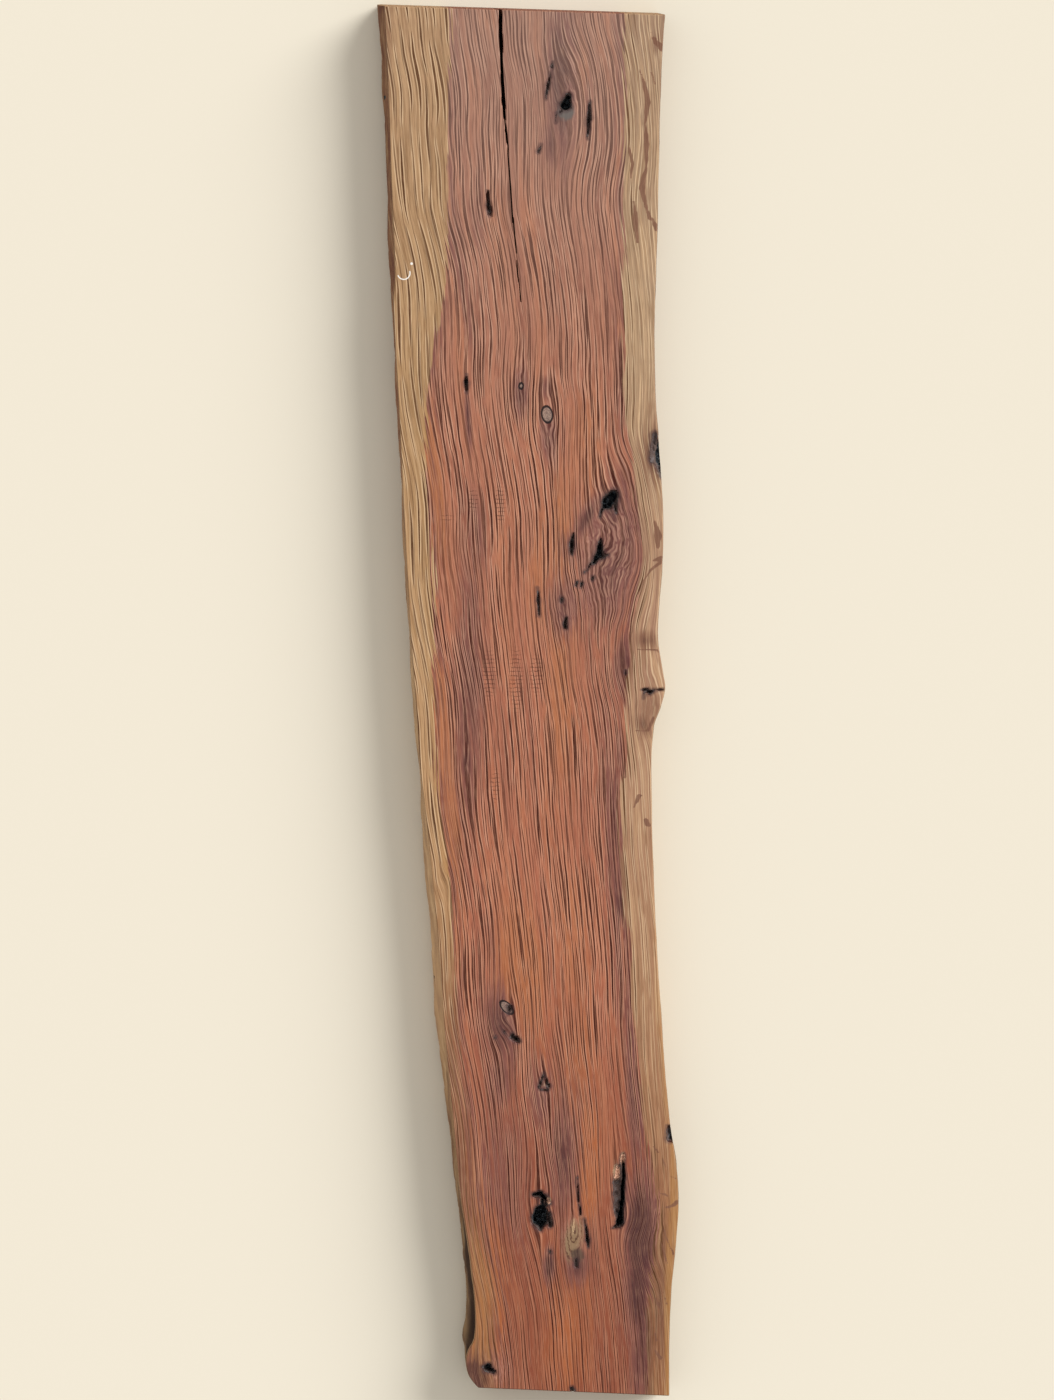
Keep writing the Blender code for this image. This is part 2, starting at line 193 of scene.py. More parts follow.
# Stains: across, along, reach across, reach along, strength, and the lean of those that lean,
# as millimetres across for each along
PURPLE_STAINS = [
    (33, 618, 14, 80, 1.1), (24, 560, 8, 30, 0.9), (62, 600, 6, 40, 0.6),
    (-65, 420, 8, 70, 0.7, -0.16), (-48, 500, 8, 50, 0.5), (-6, 306, 8, 24, 0.95),
    (19, 312, 6, 12, 0.95), (22, 262, 10, 24, 0.85), (84, 185, 18, 42, 0.95, 0.2),
    (84, 135, 32, 62, 0.9), (100, 165, 12, 50, 0.8), (36, 95, 13, 34, 0.9), (45, 152, 13, 18, 0.8),
    (60, 182, 9, 24, 1.1, 0.45), (97, 36, 10, 26, 1.0), (-58, 0, 16, 125, 0.85),
    (-60, -61, 6, 24, 1.0), (-50, 170, 14, 50, 0.6, -0.1), (88, -160, 10, 170, 0.8, -0.05),
    (93, -206, 5, 26, 1.1), (-27, -328, 17, 42, 1.0, -0.1), (-27, -374, 12, 36, 0.85),
    (-36, -250, 8, 60, 0.5, -0.1), (13, -395, 14, 34, 0.8), (-28, -480, 32, 80, 0.62),
    (36, -456, 17, 54, 0.95), (106, -400, 8, 70, 0.9, -0.06), (114, -535, 16, 56, 1.35),
    (116, -640, 12, 80, 1.0), (50, -566, 11, 18, 1.0), (22, -566, 6, 16, 1.2),
    (-54, -679, 14, 17, 1.8), (-59, 284, 2.4, 32, 1.1, -0.06), (112, -590, 14, 56, 1.2),
    (134, -600, 9, 70, 0.8), (120, 60, 13, 9, 0.85), (116, -24, 8, 11, 0.85),
    (129, 247, 13, 28, 1.1), (122, -8, 12, 20, 0.55), (131, 659, 6, 12, 0.7),
    (-141, 640, 6, 160, 0.6, 0.05),
]
GOLDEN_STAINS = [
    (56, 625, 7, 40, 0.5), (-30, 470, 12, 70, 0.5, -0.12), (62, 262, 14, 60, 0.6),
    (33, 170, 11, 60, 0.75), (-92, 216, 7, 60, 1.1, -0.10), (12, 120, 13, 55, 0.6),
    (33, 0, 16, 100, 0.7), (-80, -80, 9, 120, 1.1, -0.08), (-5, -270, 20, 60, 1.1, -0.1),
    (50, -250, 22, 80, 0.6), (53, -350, 18, 60, 0.6), (62, -462, 9, 48, 1.3),
    (-40, -590, 15, 70, 1.3), (40, -640, 22, 60, 0.7), (149, -470, 5, 80, 1.2),
    (143, -630, 4, 90, 1.5), (136, -320, 5, 110, 0.8, -0.06),
]
# Where the fibre is confused: the burl, the branch knots and the tissue round the holes
BURLS = [
    (82, 145, 30, 60, 0.9, 0.1), (-42, -671, 20, 18, 1.0), (120, -8, 13, 26, 0.8),
    (36, 604, 15, 40, 0.75), (-6, 308, 6, 22, 0.8), (20, 270, 8, 26, 0.8), (38, 90, 12, 24, 0.7),
    (-23, -320, 10, 22, 0.6), (16, -392, 7, 16, 0.6), (46, -539, 12, 26, 0.8),
    (134, -525, 12, 60, 0.85), (128, 150, 10, 40, 0.5),
]
CREAM_WALLS = [
    (95.5, -458, 2.8, 6, 1.0),  # the pale walls of the long gum pocket
    (89.5, -473, 3.6, 8, 1.0),
    (46.5, -527, 1.1, 10, 0.8, 0.08),  # the pale core of the decayed knot
    (21.8, -500.5, 2.6, 3.6, 1.0),  # the lip of the comma pocket
    (16.6, -384.5, 2.6, 3.6, 0.6),  # the heart of the three-cornered knot
]
# Patches where the bandsaw's cross marks still show
SAW_MARKS = [
    (-54, 200, 4, 9, 0.9), (-27, 196, 4, 14, 1.0), (-80, 182, 6, 4, 0.6), (-38, 25, 5, 18, 1.0),
    (-11, 20, 5, 23, 1.0), (9, 25, 5, 15, 0.9), (-32, -86, 4, 13, 0.8),
]
OLIVE_KNOT = [(46, -539, 9, 20, 1.0, 0.12)]  # the decayed tan inclusion by the comma pocket
# Brown heart-coloured rings and patches in the right sapwood, as strokes like the holes'
SAP_RINGS = [
    # the wedge in the corner, and a spot below it
    (124, 668, 128, 659, 1.0, 2.9), (128, 659, 136, 652, 2.9, 3.9), (124, 627, 128, 616, 1.0, 1.0),
    # the long ring that winds down beside the edge
    (113, 629, 118, 612, 1.0, 2.0), (118, 612, 121, 598, 2.0, 3.1), (121, 598, 118, 576, 2.9, 1.0),
    (118, 576, 120, 556, 1.0, 2.6), (120, 556, 119, 532, 2.3, 1.0), (119, 532, 115, 513, 1.2, 2.9),
    (115, 513, 118, 497, 2.9, 1.8), (118, 497, 123, 481, 1.8, 2.1), (123, 481, 131, 472, 2.1, 3.4),
    # flames beside the heartwood
    (107, 501, 108.5, 476, 1.0, 2.6), (108.5, 476, 111, 455, 2.6, 1.0),
    (102, 553, 105, 540, 1.0, 1.6), (105, 540, 104, 522, 1.6, 1.0),
    # patches behind the burl, and a line that runs down from them
    (128, 178, 131, 164, 1.3, 4.2), (131, 164, 130, 153, 4.2, 1.6), (135, 138, 125, 131, 1.6, 1.3),
    (135, 142, 126, 139, 2.4, 1.0), (125, 131, 116, 118, 1.1, 0.6), (116, 118, 109, 93, 0.5, 0.3),
    (109, 93, 104, 62, 0.3, 0.5),
    # a wrinkle across the grain above the branch knot
    (108, 51, 133, 49, 1.0, 1.4),
    # the foot of the branch knot, and patches below it
    (109, -31, 121, -31, 1.0, 1.4), (121, -31, 127, -17, 1.4, 1.0), (98, -38, 97, -79, 1.0, 1.7),
    (107, -107, 113, -94, 1.0, 2.3), (118, -118, 121, -124, 2.0, 3.4),
    (126, -447, 132, -452, 1.0, 1.0),
    # fine cracks and curls in the sapwood below
    (136, -459, 138.5, -467, 0.6, 0.3), (143, -476, 149, -478, 0.3, 0.8),
    (133, -493, 140, -496, 0.4, 1.0), (139, -508, 151, -502, 0.9, 1.6),
    (131, -536, 141, -564, 0.3, 0.9), (137, -530, 146, -554, 0.3, 0.8),
    (134, -586, 140, -606, 0.3, 1.1), (128, -598, 133, -607, 1.4, 2.3),
    (121, -616, 130, -640, 0.4, 1.0), (127, -648, 133, -657, 0.8, 2.1),
]


def curve_through(points, at, column=1):
    """A cubic through the points: each one's slope is that between its two neighbours."""
    rows = np.array(sorted(points), float)
    place, value = rows[:, 0], rows[:, column]
    last = len(place) - 1
    before = np.maximum(np.arange(last + 1) - 1, 0)
    after = np.minimum(np.arange(last + 1) + 1, last)
    slope = (value[after] - value[before]) / (place[after] - place[before])
    i = np.clip(np.searchsorted(place, at) - 1, 0, last - 1)
    span = place[i + 1] - place[i]
    t = np.clip((at - place[i]) / span, 0, 1)
    ends = value[i] * (1 + 2 * t) * (1 - t) ** 2 + value[i + 1] * t * t * (3 - 2 * t)
    return ends + span * t * (1 - t) * (slope[i] * (1 - t) - slope[i + 1] * t)


def eased(value, start, end):
    """0 before start, 1 after end, and 3t^2 - 2t^3 of the share t between them."""
    t = np.clip((value - start) / (end - start), 0, 1)
    return t * t * (3 - 2 * t)


def mound(value, middle, reach):
    """1 at the middle, eased to 0 at reach on either side."""
    return 1 - eased(np.abs(value - middle), 0, reach)


def mottle(a, b, seed):
    """Smooth noise from -1 to 1: random heights at whole numbers of a and b, eased between."""
    heights = np.random.default_rng(seed).uniform(-1, 1, (64, 512))
    i, j = np.floor(a).astype(int), np.floor(b).astype(int)
    u, v = eased(a - i, 0, 1), eased(b - j, 0, 1)
    i0, i1, j0, j1 = i % 64, (i + 1) % 64, j % 512, (j + 1) % 512
    near = heights[i0, j0] * (1 - u) + heights[i1, j0] * u
    far = heights[i0, j1] * (1 - u) + heights[i1, j1] * u
    return near * (1 - v) + far * v


def crowded(start, end, count, crowds):
    """Places from start to end whose steps shrink by 1 + strength near each crowd's middle."""
    fine = np.linspace(start, end, 8001)
    weight = np.ones_like(fine)
    for middle, reach, strength in crowds:
        weight += strength * np.exp(-(((fine - middle) / reach) ** 4))
    total = np.concatenate([[0], np.cumsum((weight[1:] + weight[:-1]) / 2)])
    return np.interp(np.linspace(0, total[-1], count), total, fine)


def flutes(y, depth, phase):
    """Two sine waves along the slab that slant with depth, fading in below the face."""
    long_wave = np.sin(y * 0.041 + depth * 2.2 + phase)
    short_wave = np.sin(y * 0.087 - depth * 3.1 + 2.3 * phase)
    return RIPPLE * (long_wave + 0.6 * short_wave) * eased(depth, 0, 0.25)


def fissures(y, depth, seed):
    """How deep the fine fissures are: mottle stretched along the slab, only its low side."""
    coarse = mottle(depth * 9 + y * 0.01, y * 0.055 + 40, seed)
    fine = mottle(depth * 21 - y * 0.02, y * 0.13 + 90, seed + 1)
    low = np.clip(-coarse, 0, 1) + 0.6 * np.clip(-fine, 0, 1)
    return WANE_FISSURE * low * eased(depth, 0.03, 0.2) * eased(1 - depth, 0, 0.1)


def left_wane(y, depth):
    """The face's edge, less the flare and flutes, plus the slot, tuck, arris and fissures."""
    out = curve_through(LEFT_EDGE, y, 2) * eased(depth, 0.02, 0.62)
    slot = BARK_SLOT * mound(y, BARK_SLOT_PLACE, BARK_SLOT_REACH) * mound(depth, 0.24, 0.20)
    tuck = LEFT_TUCK * eased(depth, 0.72, 1.0)
    rounded = ARRIS * (1 - eased(np.minimum(depth, 1 - depth), 0, 0.05))
    edge = curve_through(LEFT_EDGE, y)
    return edge - out + slot + tuck + rounded - flutes(y, depth, 0.4) + fissures(y, depth, 3)


def right_wane(y, depth):
    """The face's edge, less the tuck, the arris and the fissures, plus the flutes."""
    tuck = RIGHT_TUCK * eased(depth, 0.15, 1.0)
    rounded = ARRIS * (1 - eased(np.minimum(depth, 1 - depth), 0, 0.05))
    edge = curve_through(RIGHT_EDGE, y)
    return edge - tuck - rounded + flutes(y, depth, 1.9) - fissures(y, depth, 7)


def skewed(x, y, depth):
    """How far a point slides along the slab so that the end rows lie in the saw cuts."""
    share = (y - NARROW_END) / (WIDE_END - NARROW_END)
    slope = NARROW_END_SLOPE + (WIDE_END_SLOPE - NARROW_END_SLOPE) * share
    lean = NARROW_END_LEAN + (WIDE_END_LEAN - NARROW_END_LEAN) * share
    middle = (right_wane(y, 0.0 * y) + left_wane(y, 0.0 * y)) / 2
    return (slope * (x - middle) + lean * depth) * eased(np.abs(share - 0.5), 0.25, 0.5)


def in_strokes(x, y, strokes):
    """How far inside the nearest tapered rod each place is, and the depth of its hole.

    The gap is the distance to the nearest point of the rod's middle line. What is returned is
    radius^2 - gap^2 over twice the radius, or over 1.8 in a thin rod. It is near the distance
    from the rim, but has no ridge. Mottle bends the places first, so that no rim is a circle.
    """
    bent_x = x + 0.8 * mottle(x * 0.23, y * 0.17 + 300, 11)
    bent_y = y + 1.0 * mottle(x * 0.21 + 9, y * 0.16 + 300, 13)
    inside = np.full_like(x, -FAR)
    depth = np.zeros_like(x)
    for x0, y0, x1, y1, r0, r1, hole_depth in strokes:
        run = np.array([x1 - x0, y1 - y0])
        share = ((bent_x - x0) * run[0] + (bent_y - y0) * run[1]) / (run @ run)
        share = np.clip(share, 0, 1)
        gap = np.hypot(bent_x - x0 - share * run[0], bent_y - y0 - share * run[1])
        radius = r0 + (r1 - r0) * share
        wall = min(2.4, 0.9 * max(r0, r1))
        depth = np.maximum(depth, hole_depth * eased(radius - gap, -0.2, wall))
        inside = np.maximum(inside, (radius**2 - gap**2) / (2 * np.maximum(radius, 0.9)))
    return inside, depth


def check_depths(x, y):
    """How deep the drying check is at each place, deepest at the slab's end."""
    half = curve_through(DRYING_CHECK, y, 2) * (0.5 + 0.22 * mottle(0 * y, y * 0.09, 31))
    middle = curve_through(DRYING_CHECK, y) + 0.55 * mottle(0 * y + 3, y * 0.07, 32)
    inside = np.where(y < DRYING_CHECK[-1][0], -FAR, half - np.abs(x - middle))
    start, end = DRYING_CHECK[0][0], DRYING_CHECK[-1][0]
    share = np.clip((start - y) / (start - end), 0, 1)
    foot = CHECK_DEPTH + (CHECK_DEPTH_AT_TIP - CHECK_DEPTH) * share
    return foot * eased(inside / np.maximum(half, 0.2), 0.0, 0.8)


def blots(x, y, stains):
    """The strongest of the stains at each place: strength times e^-((distance / reach)^2 / 1.6)."""
    seen = np.zeros_like(x)
    for across, along, reach_x, reach_y, strength, *lean in stains:
        off_y = (y - along) / reach_y
        off_x = (x - across - sum(lean) * (y - along)) / reach_x
        seen = np.maximum(seen, strength * np.exp(-(off_x**2 + off_y**2) / 1.6))
    return seen


FIBRE_LEFT = -152.0  # two straight fibres that the rest lie between: across, at the wide end,
FIBRE_LEFT_LEAN = 0.115  # and how far each runs to the right for a millimetre down the slab
FIBRE_RIGHT = 138.0
FIBRE_RIGHT_LEAN = 0.045
FIBRE_WAVE = 2.8  # the fibres' slow snaking: its height and length
FIBRE_WAVE_LENGTH = 205.0


def fibre_across(x, y):
    """Which fibre passes through each place, as its distance across at the wide end.

    The place is moved back by every push, every swing and the snaking, which is weak low down
    in the middle and on the right. It is then read off between the two straight fibres.
    """
    bulge = np.zeros_like(x)
    for across, along, reach_x, reach_y, push in FIBRE_PUSHES:
        off_x, off_y = (x - across) / reach_x, (y - along) / reach_y
        bulge += push * off_x * np.exp((1 - off_x**2 - off_y**2) / 2)
    for across, along, reach_x, reach_y, slope in FIBRE_SWINGS:
        off_x, off_y = (x - across) / reach_x, (y - along) / reach_y
        bulge += slope * (y - along) * np.exp(-(off_x**2 + off_y**2))
    upper_part = eased(-x, -80, 0) * eased(y, 60, 180)
    snake_share = 0.35 + 0.65 * np.maximum(upper_part, eased(-x, 20, 70))
    snake = FIBRE_WAVE * np.sin((440 - y - 0.2 * x) * 2 * np.pi / FIBRE_WAVE_LENGTH)
    moved = x - bulge - snake * snake_share
    down = WIDE_END - y
    left = FIBRE_LEFT + FIBRE_LEFT_LEAN * down
    right = FIBRE_RIGHT + FIBRE_RIGHT_LEAN * down
    return (moved - left) / (right - left) * (FIBRE_RIGHT - FIBRE_LEFT)


# The mesh: how many points each part of a ring has, and where rows or columns stand closer, as
# (middle, reach, strength)
FACE_COLUMNS = 158
WANE_COLUMNS = 12
BACK_COLUMNS = 12
ROWS = 480
CREASE_ANGLE = 42.0  # degrees between faces, past which an edge stays sharp
CHECK_SHARE = 0.414  # how far across the face the mesh column that follows the check lies
CHECK_TRACK = [*((row[0], row[1]) for row in DRYING_CHECK), (0, 12.0), (-400, 32.0), (-700, 50.0)]
BUSY_ROWS = [(580, 62, 2.2), (300, 34, 2.2), (150, 110, 2.2), (-5, 24, 2.2), (-320, 30, 2.2)]
BUSY_ROWS += [(-385, 18, 2.4), (-510, 64, 2.4), (-672, 22, 2.4), (WIDE_END, 5, 4), (NARROW_END, 5, 4)]
BUSY_COLUMNS = [(CHECK_SHARE, 0.014, 1.8), (0, 0.008, 3), (1, 0.008, 3), (0.72, 0.22, 0.35)]
BUSY_DEPTHS = [(0, 0.05, 2.5), (0.2, 0.2, 0.5), (1, 0.04, 2)]

row_places = crowded(WIDE_END, NARROW_END, ROWS, BUSY_ROWS)
face_shares = crowded(0, 1, FACE_COLUMNS, BUSY_COLUMNS)
wane_depths = crowded(0, 1, WANE_COLUMNS + 2, BUSY_DEPTHS)[1:-1]
back_shares = np.linspace(1, 0, BACK_COLUMNS)
Y, FACE = np.meshgrid(row_places, face_shares, indexing="ij")
left, right = left_wane(row_places, 0 * row_places), right_wane(row_places, 0 * row_places)
track = curve_through(CHECK_TRACK, row_places)
left, right, track = left[:, None], right[:, None], track[:, None]
before_check = left + FACE / CHECK_SHARE * (track - left)
after_check = track + (FACE - CHECK_SHARE) / (1 - CHECK_SHARE) * (right - track)
face_x = np.where(FACE < CHECK_SHARE, before_check, after_check)
wane_y, wane_depth = np.meshgrid(row_places, wane_depths, indexing="ij")
back_y, back_share = np.meshgrid(row_places, back_shares, indexing="ij")
under_left, under_right = left_wane(back_y, 1 + 0 * back_y), right_wane(back_y, 1 + 0 * back_y)
back_x = under_left + back_share * (under_right - under_left)

# One ring per row: over the face, down the right wane, back along the underside and up the left
ring_x = [face_x, right_wane(wane_y, wane_depth), back_x, left_wane(wane_y, wane_depth)[:, ::-1]]
ring_depth = [0 * FACE, wane_depth, 1 + 0 * back_x, wane_depth[:, ::-1]]
X, DEPTH = np.hstack(ring_x), np.hstack(ring_depth)
Y = np.repeat(row_places[:, None], X.shape[1], axis=1)
Y_CUT = Y + skewed(X, Y, DEPTH)
Z = THICKNESS * (1 - DEPTH)
hole_inside, hole_depth = in_strokes(X, Y_CUT, HOLE_STROKES)
floor_lumps = 0.85 + 0.25 * mottle(X * 0.4, Y_CUT * 0.33 + 60, 21)
pit = np.maximum(hole_depth * floor_lumps, check_depths(X, Y_CUT))
Z = np.where(DEPTH < 0.9, np.minimum(Z, THICKNESS - pit), Z)
from_end = np.minimum(WIDE_END - Y, Y - NARROW_END)
end_round = ARRIS * (1 - np.sqrt(np.clip(1 - (1 - np.clip(from_end / ARRIS, 0, 1)) ** 2, 0, 1)))
Z = Z + np.where(DEPTH > 0.5, 0.5 * end_round, -end_round * (pit < 0.1))

RING = X.shape[1]
FACE_END = FACE_COLUMNS - 1
BACK_START = FACE_COLUMNS + WANE_COLUMNS
BACK_END = BACK_START + BACK_COLUMNS - 1
points = np.stack([X, Y_CUT, Z], -1)
ring_index = np.arange(ROWS * RING).reshape(ROWS, RING)


def sawn_end(row, first_new):
    """The grid of a sawn end: face points above, wane points at its sides, new ones inside.

    Each new point keeps its column's share of the width and its row's share of the height.
    """
    ring = points[row]
    depths = np.concatenate([[0], wane_depths])
    left_side = np.vstack([ring[:1], ring[: BACK_END : -1]])
    right_side = ring[FACE_END:BACK_START]
    share = (ring[:FACE_COLUMNS, 0] - ring[0, 0]) / (ring[FACE_END, 0] - ring[0, 0])
    grid = left_side[:, None] * (1 - share[:, None]) + right_side[:, None] * share[:, None]
    grid[..., 2] = ring[:FACE_COLUMNS, 2] * (1 - depths[:, None])
    index = np.empty(grid.shape[:2], int)
    index[0] = ring_index[row, :FACE_COLUMNS]
    index[1:, 0] = ring_index[row, : BACK_END : -1]
    index[:, -1] = ring_index[row, FACE_END:BACK_START]
    inner = grid[1:, 1:-1]
    index[1:, 1:-1] = first_new + np.arange(inner.size // 3).reshape(inner.shape[:2])
    foot_share = np.arange(FACE_COLUMNS) * (BACK_COLUMNS - 1) / FACE_END
    foot = ring_index[row, BACK_END - np.round(foot_share).astype(int)]
    return index, foot, inner.reshape(-1, 3)


def quads_of(index, turned):
    """Four-cornered faces between neighbours of an index grid, wound the other way if turned."""
    corners = [index[:-1, :-1], index[:-1, 1:], index[1:, 1:], index[1:, :-1]]
    faces = np.stack([c.ravel() for c in corners], -1)
    return faces[:, ::-1] if turned else faces


def stitched(upper, lower, turned):
    """Triangles that join a fine row of points to a coarser one below it."""
    down = np.stack([upper[:-1], upper[1:], lower[:-1]], -1)
    step = lower[1:] != lower[:-1]
    across = np.stack([upper[1:], lower[1:], lower[:-1]], -1)[step]
    faces = np.vstack([down, across])
    return faces[:, ::-1] if turned else faces


wide_grid, wide_foot, wide_points = sawn_end(0, ROWS * RING)
narrow_grid, narrow_foot, narrow_points = sawn_end(ROWS - 1, ROWS * RING + len(wide_points))
closed = np.hstack([ring_index, ring_index[:, :1]])
quads = [quads_of(closed, True), quads_of(wide_grid, False), quads_of(narrow_grid, True)]
triangles = [stitched(wide_grid[-1], wide_foot, False), stitched(narrow_grid[-1], narrow_foot, True)]
slab_points = np.vstack([points.reshape(-1, 3), wide_points, narrow_points])
cad_middle = (np.array(cad_box[0]) + np.array(cad_box[1])) / 2 / MM
own_middle = (slab_points.max(0) + slab_points.min(0)) / 2
offset = np.array([cad_middle[0] - own_middle[0], cad_middle[1] - own_middle[1], 0.0])

slab_mesh = bpy.data.meshes.new("slab_wood")
face_list = [face for part in quads + triangles for face in part.tolist()]
slab_mesh.from_pydata(((slab_points + offset) * MM).tolist(), [], face_list)
slab_mesh.shade_smooth()
slab_mesh.set_sharp_from_angle(angle=np.radians(CREASE_ANGLE))
slab = bpy.data.objects.new("slab_wood", slab_mesh)
bpy.context.scene.collection.objects.link(slab)


def set_attribute(name, *columns):
    """Keeps three numbers on each point of the slab; the new points of an end copy its rim."""
    rings = np.stack([column.ravel() for column in columns], -1)
    wide_rim = rings[wide_grid[0, 1:-1]]
    narrow_rim = rings[narrow_grid[0, 1:-1]]
    ends = [np.tile(rim, (WANE_COLUMNS, 1)) for rim in (wide_rim, narrow_rim)]
    values = np.vstack([rings, *ends])
    layer = slab_mesh.attributes.new(name, "FLOAT_VECTOR", "POINT")
    layer.data.foreach_set("vector", values.astype(np.float32).ravel())


column_number = np.arange(RING)
on_left = column_number > BACK_END
on_right = (column_number > FACE_END) & (column_number < BACK_START)
edge_x = np.where(on_left, left, np.where(on_right, right, X))
unrolled = THICKNESS * DEPTH * np.where(on_left, -1.0, 1.0)
back_turn = np.linspace(1, -1, BACK_COLUMNS)
unrolled[:, BACK_START : BACK_END + 1] = THICKNESS * back_turn
across_fibre = fibre_across(edge_x, Y_CUT) + unrolled
sap_rings = in_strokes(X, Y_CUT, [(*stroke, 0.0) for stroke in SAP_RINGS])[0]
near_face = DEPTH < 0.3  # sapwood rings, burls, pale walls and saw marks end here on the wane
set_attribute("fibre", across_fibre, Y_CUT, np.where(near_face, sap_rings, -FAR))
left_sap = curve_through(LEFT_SAP_LINE, Y_CUT) - X
right_sap = X - curve_through(RIGHT_SAP_LINE, Y_CUT)
ring_gap = np.full_like(X, FAR)
for ring_x0, ring_y0, ring_width, ring_length, ring_lean in KNOT_RINGS:
    ring_u = (X - ring_x0 - ring_lean * (ring_y0 - Y_CUT)) / ring_width
    ring_v = (Y_CUT - ring_y0) / ring_length
    gap = (np.hypot(ring_u, ring_v) - 1) * ring_width
    ring_gap = np.where(np.abs(gap) < np.abs(ring_gap), gap, ring_gap)
hole_mask = np.where(DEPTH < 0.5, hole_inside, -FAR)
set_attribute("place", np.maximum(left_sap, right_sap), hole_mask, ring_gap)
purple, golden = blots(X, Y_CUT, PURPLE_STAINS), blots(X, Y_CUT, GOLDEN_STAINS)
confused = blots(X, Y_CUT, BURLS) * near_face
cream = blots(X, Y_CUT, CREAM_WALLS) * near_face
set_attribute("knot", confused, cream, np.where(on_left, 1.0, 0.0) + 0 * X)
set_attribute("stain", purple, golden, blots(X, Y_CUT, SAW_MARKS) * near_face)
wane_mask = np.where(on_left | on_right, eased(DEPTH, 0.0, 0.05), 0.0)
row_number = np.arange(ROWS)[:, None]
cut_mask = np.where((row_number == 0) | (row_number == ROWS - 1), 1.0, 0.0) + 0 * X
set_attribute("side", wane_mask, cut_mask, blots(X, Y_CUT, OLIVE_KNOT) * near_face)

# The slab's own map, from 0 to 1 each way: one full-length strip each for the face, right wane,
# back and left wane, and both ends along the foot of the map
STRIPS = [(0.004, 0.640), (0.646, 0.716), (0.722, 0.922), (0.928, 0.996)]
STRIP_FOOT, STRIP_TOP = 0.062, 0.996
END_FOOT, END_WIDTH, END_HEIGHT = 0.006, 0.48, 0.046
WIDE_END_START, NARROW_END_START = 0.01, 0.51
strip_shares = [face_shares, [0, *wane_depths, 1], 1 - back_shares, [0, *(1 - wane_depths[::-1]), 1]]
column_u = [np.array(s) * (end - start) + start for s, (start, end) in zip(strip_shares, STRIPS)]
left_u = np.concatenate([u[:-1] for u in column_u])
right_u = np.concatenate([u[1:] for u in column_u])
row_shares = (row_places - NARROW_END) / (WIDE_END - NARROW_END)
row_v = STRIP_FOOT + (STRIP_TOP - STRIP_FOOT) * row_shares
ring_corners = np.zeros((ROWS - 1, RING, 4, 2))
ring_corners[..., 0] = np.stack([left_u, right_u, right_u, left_u], -1)
ring_corners[..., 1] = np.stack([row_v[1:], row_v[1:], row_v[:-1], row_v[:-1]], -1)[:, None, :]


def end_map(faces, grid, foot, start):
    """Where a sawn end's corners lie on the map: its width and height, scaled to its place."""
    spot = slab_points[faces]
    end_points = slab_points[np.append(grid.ravel(), foot)]
    low, high = end_points.min(0), end_points.max(0)
    u = start + END_WIDTH * (spot[..., 0] - low[0]) / (high[0] - low[0])
    v = END_FOOT + END_HEIGHT * (spot[..., 2] - low[2]) / (high[2] - low[2])
    return np.stack([u, v], -1).reshape(-1, 2)


corner_uv = [
    ring_corners.reshape(-1, 2),
    end_map(quads[1], wide_grid, wide_foot, WIDE_END_START),
    end_map(quads[2], narrow_grid, narrow_foot, NARROW_END_START),
    end_map(triangles[0], wide_grid, wide_foot, WIDE_END_START),
    end_map(triangles[1], narrow_grid, narrow_foot, NARROW_END_START),
]
slab_mesh.uv_layers.new(name="OFBake").data.foreach_set("uv", np.vstack(corner_uv).ravel())


def linear(code):
    """Linear light, with alpha, of an sRGB hex colour."""
    part = np.array([int(code[i : i + 2], 16) / 255 for i in (1, 3, 5)])
    part = np.where(part > 0.04045, ((part + 0.055) / 1.055) ** 2.4, part / 12.92)
    return (*part, 1.0)


def add(kind, links, stops=(), **settings):
    """Adds a node to the wood, sets it up, and fills sockets with numbers, colours or links.

    stops are the places and colours of a colour ramp.
    """
    node = tree.nodes.new("ShaderNode" + kind)
    for name, value in settings.items():
        setattr(node, name, value)
    for k, (place, colour) in enumerate(stops):
        known = k < len(node.color_ramp.elements)
        stop = node.color_ramp.elements[k] if known else node.color_ramp.elements.new(place)
        stop.position, stop.color = place, linear(colour)
    for socket, value in links.items():
        if isinstance(value, bpy.types.Node):
            value = value.outputs[0]
        if isinstance(value, bpy.types.NodeSocket):
            tree.links.new(value, node.inputs[socket])
        elif isinstance(value, str):
            node.inputs[socket].default_value = linear(value)
        else:
            node.inputs[socket].default_value = value
    return node


def arithmetic(operation, *values):
    """One number worked out from one, two or three."""
    return add("Math", dict(enumerate(values)), operation=operation)


def plus(one, other):
    return arithmetic("ADD", one, other)


def less(one, other):
    return arithmetic("SUBTRACT", one, other)


def times(one, other):
    return arithmetic("MULTIPLY", one, other)


def times_plus(one, other, more):
    """one times other, plus more."""
    return arithmetic("MULTIPLY_ADD", one, other, more)


def larger(one, other):
    return arithmetic("MAXIMUM", one, other)


def absolute(value):
    return arithmetic("ABSOLUTE", value)


def stepped(value, start, end, low=0.0, high=1.0):
    """low before start and high after end, eased between."""
    links = {0: value, 1: start, 2: end, 3: low, 4: high}
    return add("MapRange", links, interpolation_type="SMOOTHSTEP")


def blended(amount, under, over):
    """under where the amount is 0 and over where it is 1."""
    return add("MixRGB", {0: amount, 1: under, 2: over})


def tinted(base, part, most, colour):
    """base, with up to most of a colour over it, in proportion to the part."""
    return blended(times(part, most), base, colour)


def streaked(base, value, start, end, most, colour):
    """base, with up to most of a colour over it, eased in as the value goes from start to end."""
    return blended(stepped(value, start, end, 0.0, most), base, colour)


def ramp(value, *stops):
    """The colour that stops at the given places pass through."""
    return add("ValToRGB", {0: value}, stops=stops)


